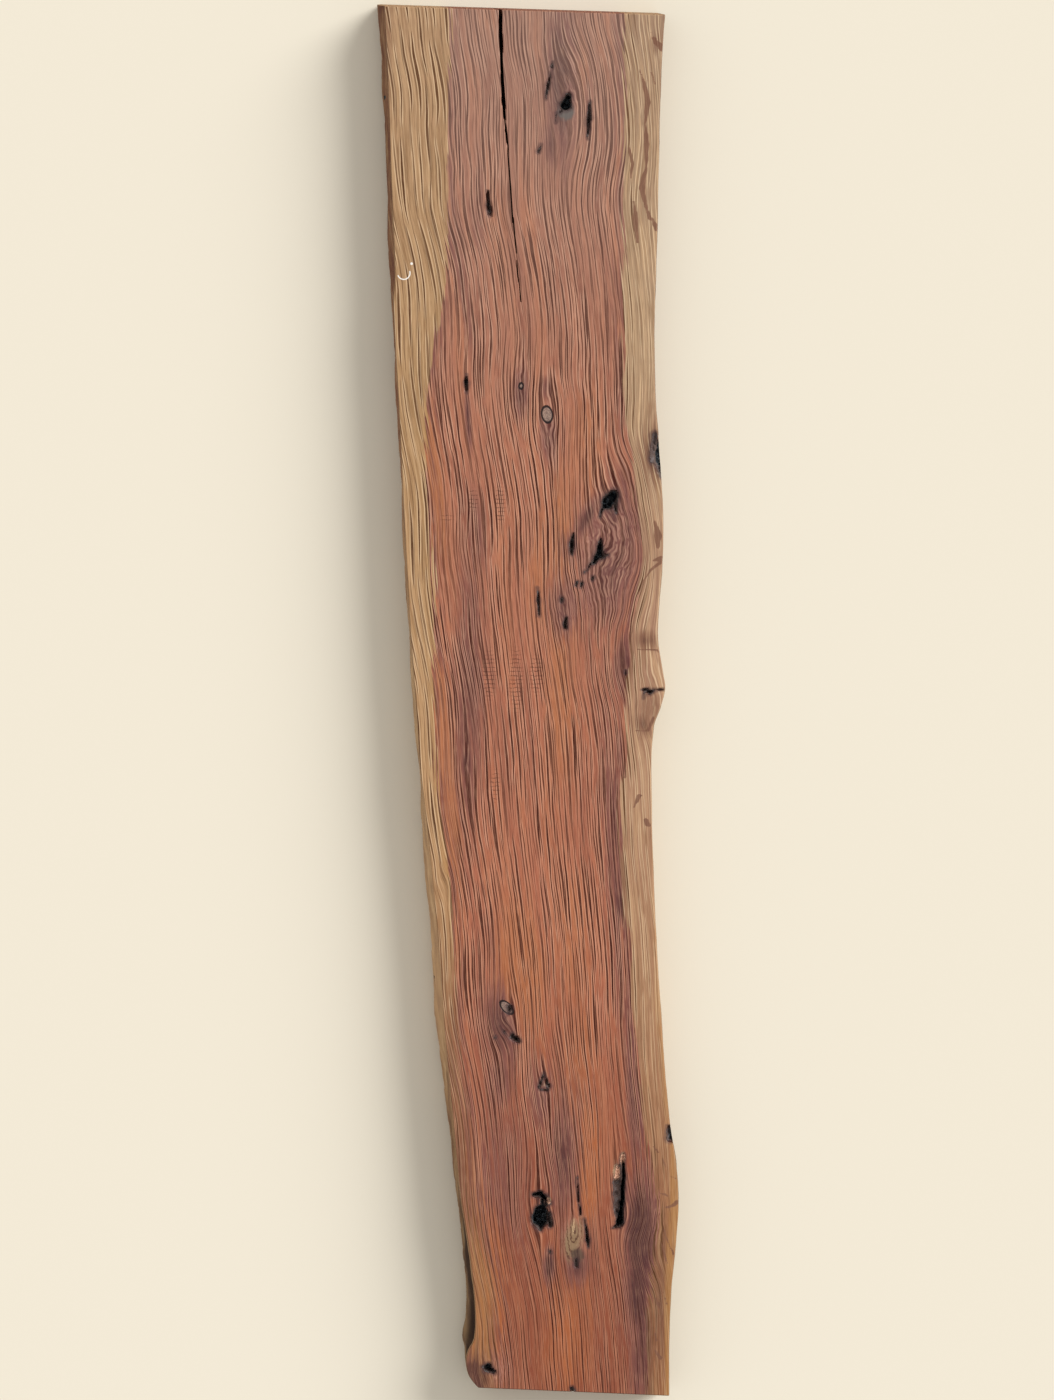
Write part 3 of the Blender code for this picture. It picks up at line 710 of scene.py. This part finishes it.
def kept(name):
    """The three numbers that an attribute keeps on each point of the slab."""
    return add("SeparateXYZ", {0: add("Attribute", {}, attribute_name=name).outputs[1]}).outputs


def noise(vector, scale, detail, **more):
    return add("TexNoise", {"Vector": vector, "Scale": scale, "Detail": detail, **more})


def gap_from(point, squeeze=None):
    """How far each place is from a point, after a squeeze along the axes."""
    off = add("VectorMath", {0: here, 1: point}, operation="SUBTRACT")
    if squeeze:
        off = add("VectorMath", {0: off, 1: squeeze}, operation="MULTIPLY")
    return add("VectorMath", {0: off}, operation="LENGTH").outputs[1]


def fibre_noise(across, along, detail=2.0, seed=0.0):
    """Noise whose grains are 1 / across by 1 / along millimetres, laid along the fibres."""
    stretched = {0: times(fibre_x, across), 1: times(fibre_y, along), 2: seed}
    return noise(add("CombineXYZ", stretched), 1.0, detail)


def shifted(noise_value, amount, base):
    """base plus amount times how far the noise is above its middle."""
    return times_plus(plus(noise_value, -0.5), amount, base)


# Buloke, sanded and oiled: a red-brown heartwood with purple stains round its knots, a band of
# tan sapwood along each edge, and everywhere the dark flecks of the broad rays. The oil leaves a
# satin face. Where the grain opens the fleck is a hair below the face and rougher.
wood = bpy.data.materials.new("buloke_sanded_and_oiled")
wood.use_nodes = True
tree = wood.node_tree
shader = tree.nodes["Principled BSDF"]
fibre_x, fibre_y, sap_ring_gap = kept("fibre")
sap_gap, hole_gap, ring_line = kept("place")
purple_blot, golden_blot, saw_blot = kept("stain")
wane_part, cut_part, olive_blot = kept("side")
burl_blot, cream_blot, left_wane_part = kept("knot")
in_metres = add("TexCoord", {}).outputs["Object"]
here = add("VectorMath", {0: in_metres, 3: 1 / MM}, operation="SCALE")
spot_x, spot_y, spot_z = add("SeparateXYZ", {0: here}).outputs
right_half = stepped(spot_x, 10.0, 60.0)
along_slab = add("MapRange", {0: spot_y, 1: 700.0, 2: -700.0})  # 0 at the wide end, 1 at the other

# The flecks follow the fibres, which wander a little, and lose their way inside a burl
CURL_ACROSS, CURL_ALONG = 6.0, 35.0  # how far the fibre strays inside a burl
slow_wander = fibre_noise(0.030, 0.012, 1.0, 3.0)
quick_wander = fibre_noise(0.09, 0.030, 1.0, 8.0)
snaking = shifted(quick_wander, 1.8, shifted(slow_wander, 3.0, fibre_x))
curl = noise(here, 0.075, 1.0)
curl_off = add("VectorMath", {0: curl.outputs["Color"], 1: (-0.5, -0.5, -0.5)})
curl_x, curl_y, _ = add("SeparateXYZ", {0: curl_off}).outputs
snaking = times_plus(times(curl_x, CURL_ACROSS), burl_blot, snaking)
along_fibre = times_plus(times(curl_y, CURL_ALONG), burl_blot, fibre_y)

LANE_OFFSET = 23.0  # the most stretches by which neighbouring lanes start apart
FLECK_TILT = 2.4  # the most that a fleck's two ends lie apart across the fibres
LIP_HIGHLIGHT_PLACE = 0.75  # how far beyond a fleck's edge its pale lip, partly a painted highlight, is palest


def ray_flecks(spacing, length, half_width, seed):
    """One generation of ray flecks, as (how dark, how pale the lip beside it, which is partly a
    painted highlight).

    The fibres are parted into lanes a spacing wide, and each lane into stretches of a length,
    whose starts differ from lane to lane. Each stretch holds one lens: its half width is that
    given, times its own random share, times one less the square of the way to its ends.
    """
    lane = times_plus(snaking, 1 / spacing, seed)
    lane_number = arithmetic("FLOOR", lane)
    in_lane = arithmetic("FRACT", lane)
    start = add("TexWhiteNoise", {"W": lane_number}, noise_dimensions="1D")
    down = times_plus(along_fibre, 1 / length, times(start, LANE_OFFSET))
    stretch_number = arithmetic("FLOOR", down)
    in_stretch = arithmetic("FRACT", down)
    pair = add("CombineXYZ", {0: lane_number, 1: stretch_number, 2: seed})
    chance = add("TexWhiteNoise", {"Vector": pair}, noise_dimensions="3D")
    own_place, own_width, own_shade = add("SeparateColor", {0: chance.outputs["Color"]}).outputs
    middle = times_plus(own_place, 0.56, 0.22)
    way = times_plus(in_stretch, 2.0, -1.0)
    tilt = times(plus(own_shade, -0.5), FLECK_TILT / spacing)
    middle = times_plus(tilt, way, middle)
    aside = times(less(in_lane, middle), spacing)
    taper = times_plus(times(way, way), -1.0, 1.0)
    share = times_plus(own_width, 0.8, 0.45)
    beyond = less(absolute(aside), times(times(taper, share), half_width))
    strength = times_plus(own_shade, 0.25, 0.82)
    rim = stepped(beyond, -0.15, 0.15, 1.0, 0.0)
    dark = times(times(rim, strength), stepped(taper, 0.0, 0.30))
    lip_highlight_rim = stepped(absolute(plus(beyond, -LIP_HIGHLIGHT_PLACE)), 0.0, 0.70, 1.0, 0.0)
    lip_highlight = times(times(lip_highlight_rim, strength), stepped(taper, 0.1, 0.5))
    return dark, lip_highlight


# Each generation's spacing, length and half width in millimetres, and its seed
bold, bold_lip_highlight = ray_flecks(6.8, 125.0, 1.05, 0.35)
middling, middling_lip_highlight = ray_flecks(8.3, 70.0, 0.88, 41.7)
small, small_lip_highlight = ray_flecks(3.7, 30.0, 0.50, 97.1)
sap_ray, sap_lip_highlight = ray_flecks(9.0, 96.0, 1.05, 13.9)
flecks = larger(bold, times(middling, stepped(along_slab, 0.70, 0.88, 1.0, 0.45)))
burl_fleck = stepped(burl_blot, 0.30, 0.75)
small_part = larger(burl_fleck, stepped(along_slab, 0.60, 0.84, 0.5, 0.1))
flecks = larger(flecks, times(small, small_part))
patchy = fibre_noise(0.035, 0.006, 2.0, 23.0)
flecks = times(flecks, stepped(patchy, 0.36, 0.54, 0.62, 1.0))
flecks = times(flecks, stepped(burl_blot, 0.25, 0.75, 1.0, 0.65))
clear_band = times(stepped(golden_blot, 0.50, 0.95, 0.0, 0.65), stepped(spot_x, -50.0, -66.0))
clear_part = less(1.0, clear_band)
flecks = times(flecks, clear_part)
# The pale lips beside the flecks: partly pale cut fibre, partly painted highlight
lip_highlight_part = times(stepped(patchy, 0.36, 0.60, 0.3, 1.0), stepped(burl_blot, 0.25, 0.75, 1.0, 0.3))
lip_highlights = times(larger(bold_lip_highlight, times(middling_lip_highlight, 0.7)), lip_highlight_part)
lip_highlights = times(times(lip_highlights, clear_part), stepped(along_slab, 0.74, 0.90, 1.0, 0.6))
lip_highlights = larger(lip_highlights, times(times(small_lip_highlight, burl_fleck), 0.55))

# Along the slab the heartwood goes from a pink-brown, paled and greyed at the wide end by a painted
# reflection of the oil's sheen, to a deep orange-brown, and the sapwood, whose border runs in tongues
# along the fibres, from tan to brown
heart = ramp(along_slab, (0.0, "#a07663"), (0.35, "#ab6d55"), (0.68, "#aa654c"), (0.82, "#94523b"),
             (1.0, "#844530"))
bands = fibre_noise(0.050, 0.0035, 3.0, 17.0)
strips = fibre_noise(0.17, 0.009, 3.0, 37.0)
heart = streaked(heart, bands, 0.50, 0.66, 0.40, "#b3714f")
heart = streaked(heart, bands, 0.50, 0.34, 0.42, "#7c4b3e")
heart = streaked(heart, strips, 0.50, 0.68, 0.35, "#c08263")
heart = streaked(heart, strips, 0.50, 0.32, 0.35, "#744232")
left_sap = ramp(along_slab, (0.0, "#a98767"), (0.3, "#aa865e"), (0.60, "#b68e66"), (0.67, "#a47a55"),
                (0.75, "#865b3e"), (1.0, "#804a26"))
right_sap = ramp(along_slab, (0.0, "#9b7f69"), (0.25, "#aa8d6f"), (0.45, "#a67e67"), (0.7, "#a67c5e"),
                 (0.85, "#976648"), (1.0, "#8f5b3a"))
sap = blended(right_half, left_sap, right_sap)
sap_streaks = fibre_noise(0.32, 0.012, 3.0, 29.0)
sap = streaked(sap, sap_streaks, 0.45, 0.72, 0.50, "#cba67c")
sap = streaked(sap, sap_streaks, 0.52, 0.30, 0.45, "#82603f")
tongues = shifted(fibre_noise(0.34, 0.013, 3.0, 5.0), 22.0, sap_gap)
low_left = times(stepped(along_slab, 0.66, 0.82), stepped(spot_x, 60.0, 10.0))
blurred = times_plus(low_left, 9.0, 1.0)
sap_part = stepped(arithmetic("DIVIDE", tongues, blurred), -0.8, 1.2)
sap_part = times(sap_part, times_plus(low_left, -0.4, 1.0))

# Stains: purple-brown round the knots, golden bands between them, both drawn out by the fibre
streaky = fibre_noise(0.28, 0.014, 3.0, 51.0)
purple_part = stepped(shifted(streaky, 1.0, purple_blot), 0.14, 0.78)
deep_part = stepped(shifted(streaky, 0.8, purple_blot), 0.68, 1.20)
golden_part = stepped(shifted(streaky, -0.9, golden_blot), 0.12, 0.85)
golden_tone = blended(stepped(along_slab, 0.6, 0.85), "#b06f49", "#ab6239")
heart = tinted(heart, golden_part, 0.75, golden_tone)
burl_across = times_plus(fibre_x, 0.70, times(curl_x, 9.0))
burl_along = times_plus(fibre_y, 0.06, times(curl_y, 4.0))
burl_grain = noise(add("CombineXYZ", {0: burl_across, 1: burl_along, 2: 13.0}), 1.0, 3.0)
burl_part = stepped(shifted(streaky, 0.7, burl_blot), 0.2, 0.75)
burl_wood = ramp(burl_grain, (0.34, "#64352d"), (0.45, "#9a6659"), (0.56, "#b07a6c"),
                 (0.66, "#cfa18d"))
heart = tinted(heart, burl_part, 0.75, burl_wood)
heart = tinted(heart, purple_part, 0.74, "#704744")
heart = tinted(heart, deep_part, 0.80, "#3f2528")
beside_sap = times(stepped(tongues, -15.0, -3.0), stepped(streaky, 0.38, 0.58))
heart = tinted(heart, beside_sap, 0.68, "#6b3f3d")
sap = tinted(sap, purple_part, 0.62, "#6a4335")
sap = tinted(sap, deep_part, 0.70, "#4a2c27")
sap = tinted(sap, golden_part, 0.55, "#b08048")

# Rays: maroon in the heartwood, tobacco brown and fewer in the sapwood, each with a pale lip that is
# partly pale cut fibre and partly a painted highlight
ray_colour = blended(stepped(along_slab, 0.0, 0.4), "#451d0e", "#3b0f04")
lip_highlight_colour = blended(along_slab, "#dcb49a", "#e6a888")
heart = tinted(heart, lip_highlights, 0.66, lip_highlight_colour)
heart = tinted(heart, flecks, 0.96, ray_colour)
sap_flecks = larger(sap_ray, times(middling, 0.55))
outer_right = times(stepped(tongues, 5.0, 17.0, 0.0, 0.85), right_half)
sap_flecks = times(sap_flecks, less(1.0, outer_right))
calm_sap = times(stepped(along_slab, 0.68, 0.84, 1.0, 0.3), stepped(burl_blot, 0.2, 0.7, 1.0, 0.3))
# Painted highlights, with some pale cut fibre, beside the sapwood flecks
sap = tinted(sap, times(sap_lip_highlight, calm_sap), 0.60, "#eccfa9")
sap = tinted(sap, sap_flecks, 0.96, "#4c2c13")
sap_grain = fibre_noise(0.55, 0.006, 2.0, 91.0)
pale_grain = times(stepped(sap_grain, 0.52, 0.66, 0.0, 0.30), calm_sap)
sap = blended(pale_grain, sap, "#d4b189")
sap = streaked(sap, sap_grain, 0.48, 0.34, 0.32, "#83603f")
ring_stroke = stepped(shifted(streaky, 1.2, sap_ring_gap), -0.7, 0.2)
sap = tinted(sap, ring_stroke, 0.85, "#75503f")
face = blended(sap_part, heart, sap)
face = tinted(face, deep_part, 0.42, "#45292a")
pores = fibre_noise(2.4, 0.07, 2.0, 77.0)
face = streaked(face, pores, 0.50, 0.72, 0.20, "#e0ab88")
face = streaked(face, pores, 0.50, 0.28, 0.30, "#5a2817")
# Painted reflection: the oil's satin sheen, laid as a pale grey-pink haze over the heartwood near the
# wide end
painted_sheen = stepped(along_slab, 0.32, 0.0, 0.0, 0.22)
face = blended(times(painted_sheen, stepped(sap_part, 1.0, 0.0)), face, "#a4897e")

# Knots: a charred ring round a dull brown heart
lumpy = noise(here, 0.22, 4.0, Roughness=0.6)
fine_lumps = noise(here, 0.9, 3.0)
ring_edge = shifted(fine_lumps, 0.8, ring_line)
knot_wood = blended(stepped(fine_lumps, 0.40, 0.62), "#75615a", "#a48c7c")
face = streaked(face, ring_edge, 0.2, -0.6, 0.85, knot_wood)
ring_part = stepped(absolute(ring_edge), 0.45, 1.15, 0.95, 0.0)
face = blended(ring_part, face, "#1d1516")

# The decayed inclusion by the comma pocket: fine rings round its core, and dark wood at its foot
olive_part = stepped(shifted(streaky, 1.0, olive_blot), 0.25, 0.85)
core_gap = gap_from((47.0, -531.0, 0.0), squeeze=(1.0, 0.30, 0.0))
core_wave = arithmetic("SINE", shifted(lumpy, 9.0, times(core_gap, 1.9)))
olive = ramp(core_wave, (0.0, "#8c7357"), (0.5, "#84694c"), (0.85, "#644a35"), (1.0, "#483228"))
face = tinted(face, olive_part, 0.9, olive)
foot_part = stepped(shifted(lumpy, 6.0, gap_from((50.0, -558.0, THICKNESS))), 9.0, 4.5)
foot_wood = blended(stepped(streaky, 0.42, 0.60), "#3b2c29", "#6c5747")
face = tinted(face, foot_part, 0.85, foot_wood)

# Cream lips and walls, a grey patch under the top knot hole, dark rims, painted shade on the walls of
# the pits and the check, and the gum with painted glints
cream_part = stepped(shifted(fine_lumps, 0.9, cream_blot), 0.40, 0.75)
face = tinted(face, cream_part, 0.85, "#cfae86")
bloom_part = stepped(shifted(lumpy, 6.0, gap_from((38.5, 585.5, THICKNESS))), 11.0, 5.5)
face = tinted(face, bloom_part, 0.85, "#67635f")
hole_edge = shifted(lumpy, 2.2, shifted(fine_lumps, 0.7, hole_gap))
face = streaked(face, hole_edge, -6.0, 0.0, 0.62, "#493535")
hole_part = stepped(hole_edge, -0.25, 0.25)
# Painted shade: the walls below the face, in the holes and the drying check, are darkened as if in
# shadow
painted_pit_shade = times(stepped(spot_z, 44.5, 43.4), stepped(wane_part, 0.5, 0.0))
painted_pit_shade = times(painted_pit_shade, stepped(spot_z, 0.5, 2.0))
face = blended(painted_pit_shade, face, "#452820")
# The gum in the holes: near-black, with grey patches and pale flecks that are painted highlights
gum_and_glints = blended(stepped(lumpy, 0.50, 0.66), "#171b20", "#565f65")
gum_and_glints = streaked(gum_and_glints, fine_lumps, 0.58, 0.72, 0.35, "#a3a79f")
gum_and_glints = tinted(gum_and_glints, stepped(spot_z, 35.0, 39.5), 0.55, "#6d564e")  # the shelf of the long pocket
gum_and_glints = blended(cream_part, gum_and_glints, blended(stepped(fine_lumps, 0.36, 0.56), "#7d5040", "#d6a68a"))
face = blended(hole_part, face, gum_and_glints)

# A curl of white lint lies on the sapwood: half a ring, with a dot by it
LINT_X, LINT_Y, LINT_RADIUS = -123.6, 424.0, 6.2
lint_ring = absolute(plus(gap_from((LINT_X, LINT_Y, THICKNESS)), -LINT_RADIUS))
lint_side = times_plus(plus(spot_x, -LINT_X), -0.35, plus(spot_y, -LINT_Y))
lint_part = times(stepped(lint_ring, 0.2, 0.9, 1.0, 0.0), stepped(lint_side, 0.5, -0.5))
dot = stepped(gap_from((-115.8, 433.5, THICKNESS)), 0.9, 1.6, 1.0, 0.0)
face = blended(larger(lint_part, dot), face, "#f3eee6")

# The wane: weathered trunk wood, streaked lengthwise from dark brown to tan, redder near the
# wide end and greyer near the narrow one. Just below the middle it is much paler, partly its own pale
# tan and partly painted light on a side that faces away from the lamp
wane_streaks = fibre_noise(0.14, 0.022, 4.0, 63.0)
wane = ramp(wane_streaks, (0.32, "#3c231e"), (0.42, "#6d4a38"), (0.52, "#94724f"), (0.62, "#ac8c68"),
            (0.74, "#d3b78d"))
# Pale from 0.5 to 0.72: partly the wane's own tan, partly painted light on the shaded left side
wane_tint = ramp(along_slab, (0.0, "#6d4439"), (0.3, "#8a5c4a"), (0.5, "#dab78f"), (0.72, "#e4ba8f"),
                 (0.82, "#8a6a4e"), (1.0, "#6f6350"))
wane = blended(0.48, wane, wane_tint)
crevice = times(stepped(spot_z, 24.0, 31.0), stepped(spot_z, 42.0, 37.0))
crevice = times(times(crevice, left_wane_part), stepped(along_slab, 0.84, 0.89))
wane = tinted(wane, crevice, 0.85, "#2a1a16")
# A painted highlight along the left wane just under the face, where the rounded arris would catch the
# light
lip_highlight = times(stepped(spot_z, 39.5, 42.5), left_wane_part)
wane = tinted(wane, times(lip_highlight, stepped(along_slab, 0.45, 0.6)), 0.6, "#c39b74")
wane = tinted(wane, less(1.0, left_wane_part), 0.55, "#5f5446")
face_and_wane = blended(hole_part, blended(wane_part, face, wane), gum_and_glints)

# The sawn ends: rays as fine upright lines, and growth rings as faint arcs round the pith
PITH = (-20.0, 0.0, -170.0)
end_x = add("CombineXYZ", {0: times(spot_x, 0.55), 1: times(spot_z, 0.03)})
end_rays = noise(end_x, 1.0, 3.0)
pith_gap = gap_from(PITH, squeeze=(1.0, 0.0, 1.0))
rings = add("TexNoise", {"W": times(pith_gap, 0.55), "Scale": 1.0, "Detail": 3.0},
            noise_dimensions="1D")
end_grain = blended(sap_part, "#7b4c3b", "#9c7d5c")
end_grain = streaked(end_grain, rings, 0.40, 0.65, 0.4, "#4d2e24")
end_grain = streaked(end_grain, end_rays, 0.52, 0.70, 0.65, "#b0815f")
end_grain = streaked(end_grain, end_rays, 0.42, 0.30, 0.65, "#40221a")
colour = blended(cut_part, face_and_wane, end_grain)

# The back, rough from the bandsaw: dusty, with a mark across it every few millimetres. Patches
# of such marks are left on the face too.
BACK_PITCH, FACE_PITCH = 3.4, 4.1  # from one mark to the next
saw_wave = arithmetic("SINE", times(shifted(lumpy, 6.0, spot_y), 2 * np.pi / BACK_PITCH))
saw_lines = stepped(saw_wave, 0.45, 0.95)
back_part = stepped(spot_z, 0.8, 0.2)
back = tinted(blended(0.35, face, "#a88870"), saw_lines, 0.35, "#6e4f3c")
colour = blended(back_part, colour, back)
rung_wave = arithmetic("SINE", times(shifted(lumpy, 4.0, spot_y), 2 * np.pi / FACE_PITCH))
rungs = times(stepped(rung_wave, 0.55, 0.92), stepped(fine_lumps, 0.36, 0.52))
saw_patch = times(stepped(saw_blot, 0.1, 0.6), rungs)
colour = tinted(colour, saw_patch, 0.62, "#4a281c")
tree.links.new(colour.outputs[0], shader.inputs["Base Color"])

rough = times_plus(flecks, 0.16, shifted(pores, -0.25, 0.44))
raw_part = larger(larger(wane_part, cut_part), back_part)
rough = times_plus(raw_part, 0.34, rough)
tree.links.new(rough.outputs[0], shader.inputs["Roughness"])
shader.inputs["IOR"].default_value = 1.5
shader.inputs["Specular IOR Level"].default_value = 0.15

# Heights in millimetres: open rays, raised fibre, charred rings, saw marks, lumps of gum, the
# wane's furrows, the ends' rays and the saw's marks on the back
height = times(flecks, -0.07)
height = times_plus(pores, 0.05, height)
height = times_plus(ring_part, -0.35, height)
height = times_plus(saw_patch, -0.12, height)
height = times_plus(times(lumpy, hole_part), 2.0, height)
height = times_plus(times(wane_streaks, wane_part), 1.8, height)
height = times_plus(times(end_rays, cut_part), 0.4, height)
height = times_plus(times(saw_lines, back_part), 0.25, height)
relief = add("Bump", {"Strength": 1.0, "Distance": MM, "Height": height})
tree.links.new(relief.outputs[0], shader.inputs["Normal"])
slab_mesh.materials.append(wood)
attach(slab, "root")
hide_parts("slab")

# The floor. A wide sheet of cream paper, matt and plain, which the slab lies on. It stands for
# the photograph's pale background and is not part of the slab.
HALF_SPAN = 8.0  # metres, so that its edges stay far outside the photograph's view
FLOOR_DROP = 0.0002  # metres that it lies below the slab's underside
floor_mesh = bpy.data.meshes.new("floor")
signs = [(-1, -1), (1, -1), (1, 1), (-1, 1)]
corners = [(x * HALF_SPAN, y * HALF_SPAN, -FLOOR_DROP) for x, y in signs]
floor_mesh.from_pydata(corners, [], [(0, 1, 2, 3)])
floor = bpy.data.objects.new("floor", floor_mesh)
bpy.context.scene.collection.objects.link(floor)
paper = bpy.data.materials.new("matt_cream_paper")
paper.use_nodes = True
paper_inputs = paper.node_tree.nodes["Principled BSDF"].inputs
paper_inputs["Base Color"].default_value = linear("#e8e0ce")
paper_inputs["Roughness"].default_value = 0.95
paper_inputs["Specular IOR Level"].default_value = 0.1
floor_mesh.materials.append(paper)

# The light. A large, far softbox at the upper right lays a soft shadow along the slab's left
# edge, and a pale room fills it in. A sun lamp with a wide disc stands for the softbox, so the
# floor is lit evenly.
KEY_FROM = Vector((0.745, 0.50, 0.44))  # the way from the slab to the softbox
KEY_DISTANCE = 6.0
KEY_DISC = 36.0  # degrees
KEY_STRENGTH = 3.55
ROOM_STRENGTH = 0.62
key = bpy.data.lights.new("key_softbox", "SUN")
key.angle = np.radians(KEY_DISC)
key.energy = KEY_STRENGTH
key_lamp = bpy.data.objects.new("key_softbox", key)
key_lamp.location = KEY_DISTANCE * KEY_FROM
key_lamp.rotation_euler = KEY_FROM.to_track_quat("Z", "Y").to_euler()
bpy.context.scene.collection.objects.link(key_lamp)
room = bpy.data.worlds.new("pale_room")
room.use_nodes = True
glow = room.node_tree.nodes["Background"]
glow.inputs["Color"].default_value = linear("#fffdfb")
glow.inputs["Strength"].default_value = ROOM_STRENGTH
bpy.context.scene.world = room

# The camera. Straight above the middle of the photograph's frame, which is 1.4 m tall on the
# slab's face, and far enough off that the edges show as they do there.
FRAME_HEIGHT = 1.4
CAMERA_HEIGHT = 4.0  # metres above the face
lens = bpy.data.cameras.new("overhead")
lens.sensor_width = 36.0
lens.lens = lens.sensor_width * CAMERA_HEIGHT / FRAME_HEIGHT
camera = bpy.data.objects.new("overhead", lens)
camera.location = (offset[0] * MM, offset[1] * MM, THICKNESS * MM + CAMERA_HEIGHT)
bpy.context.scene.collection.objects.link(camera)
bpy.context.scene.camera = camera
bpy.context.scene.view_settings.view_transform = "Standard"
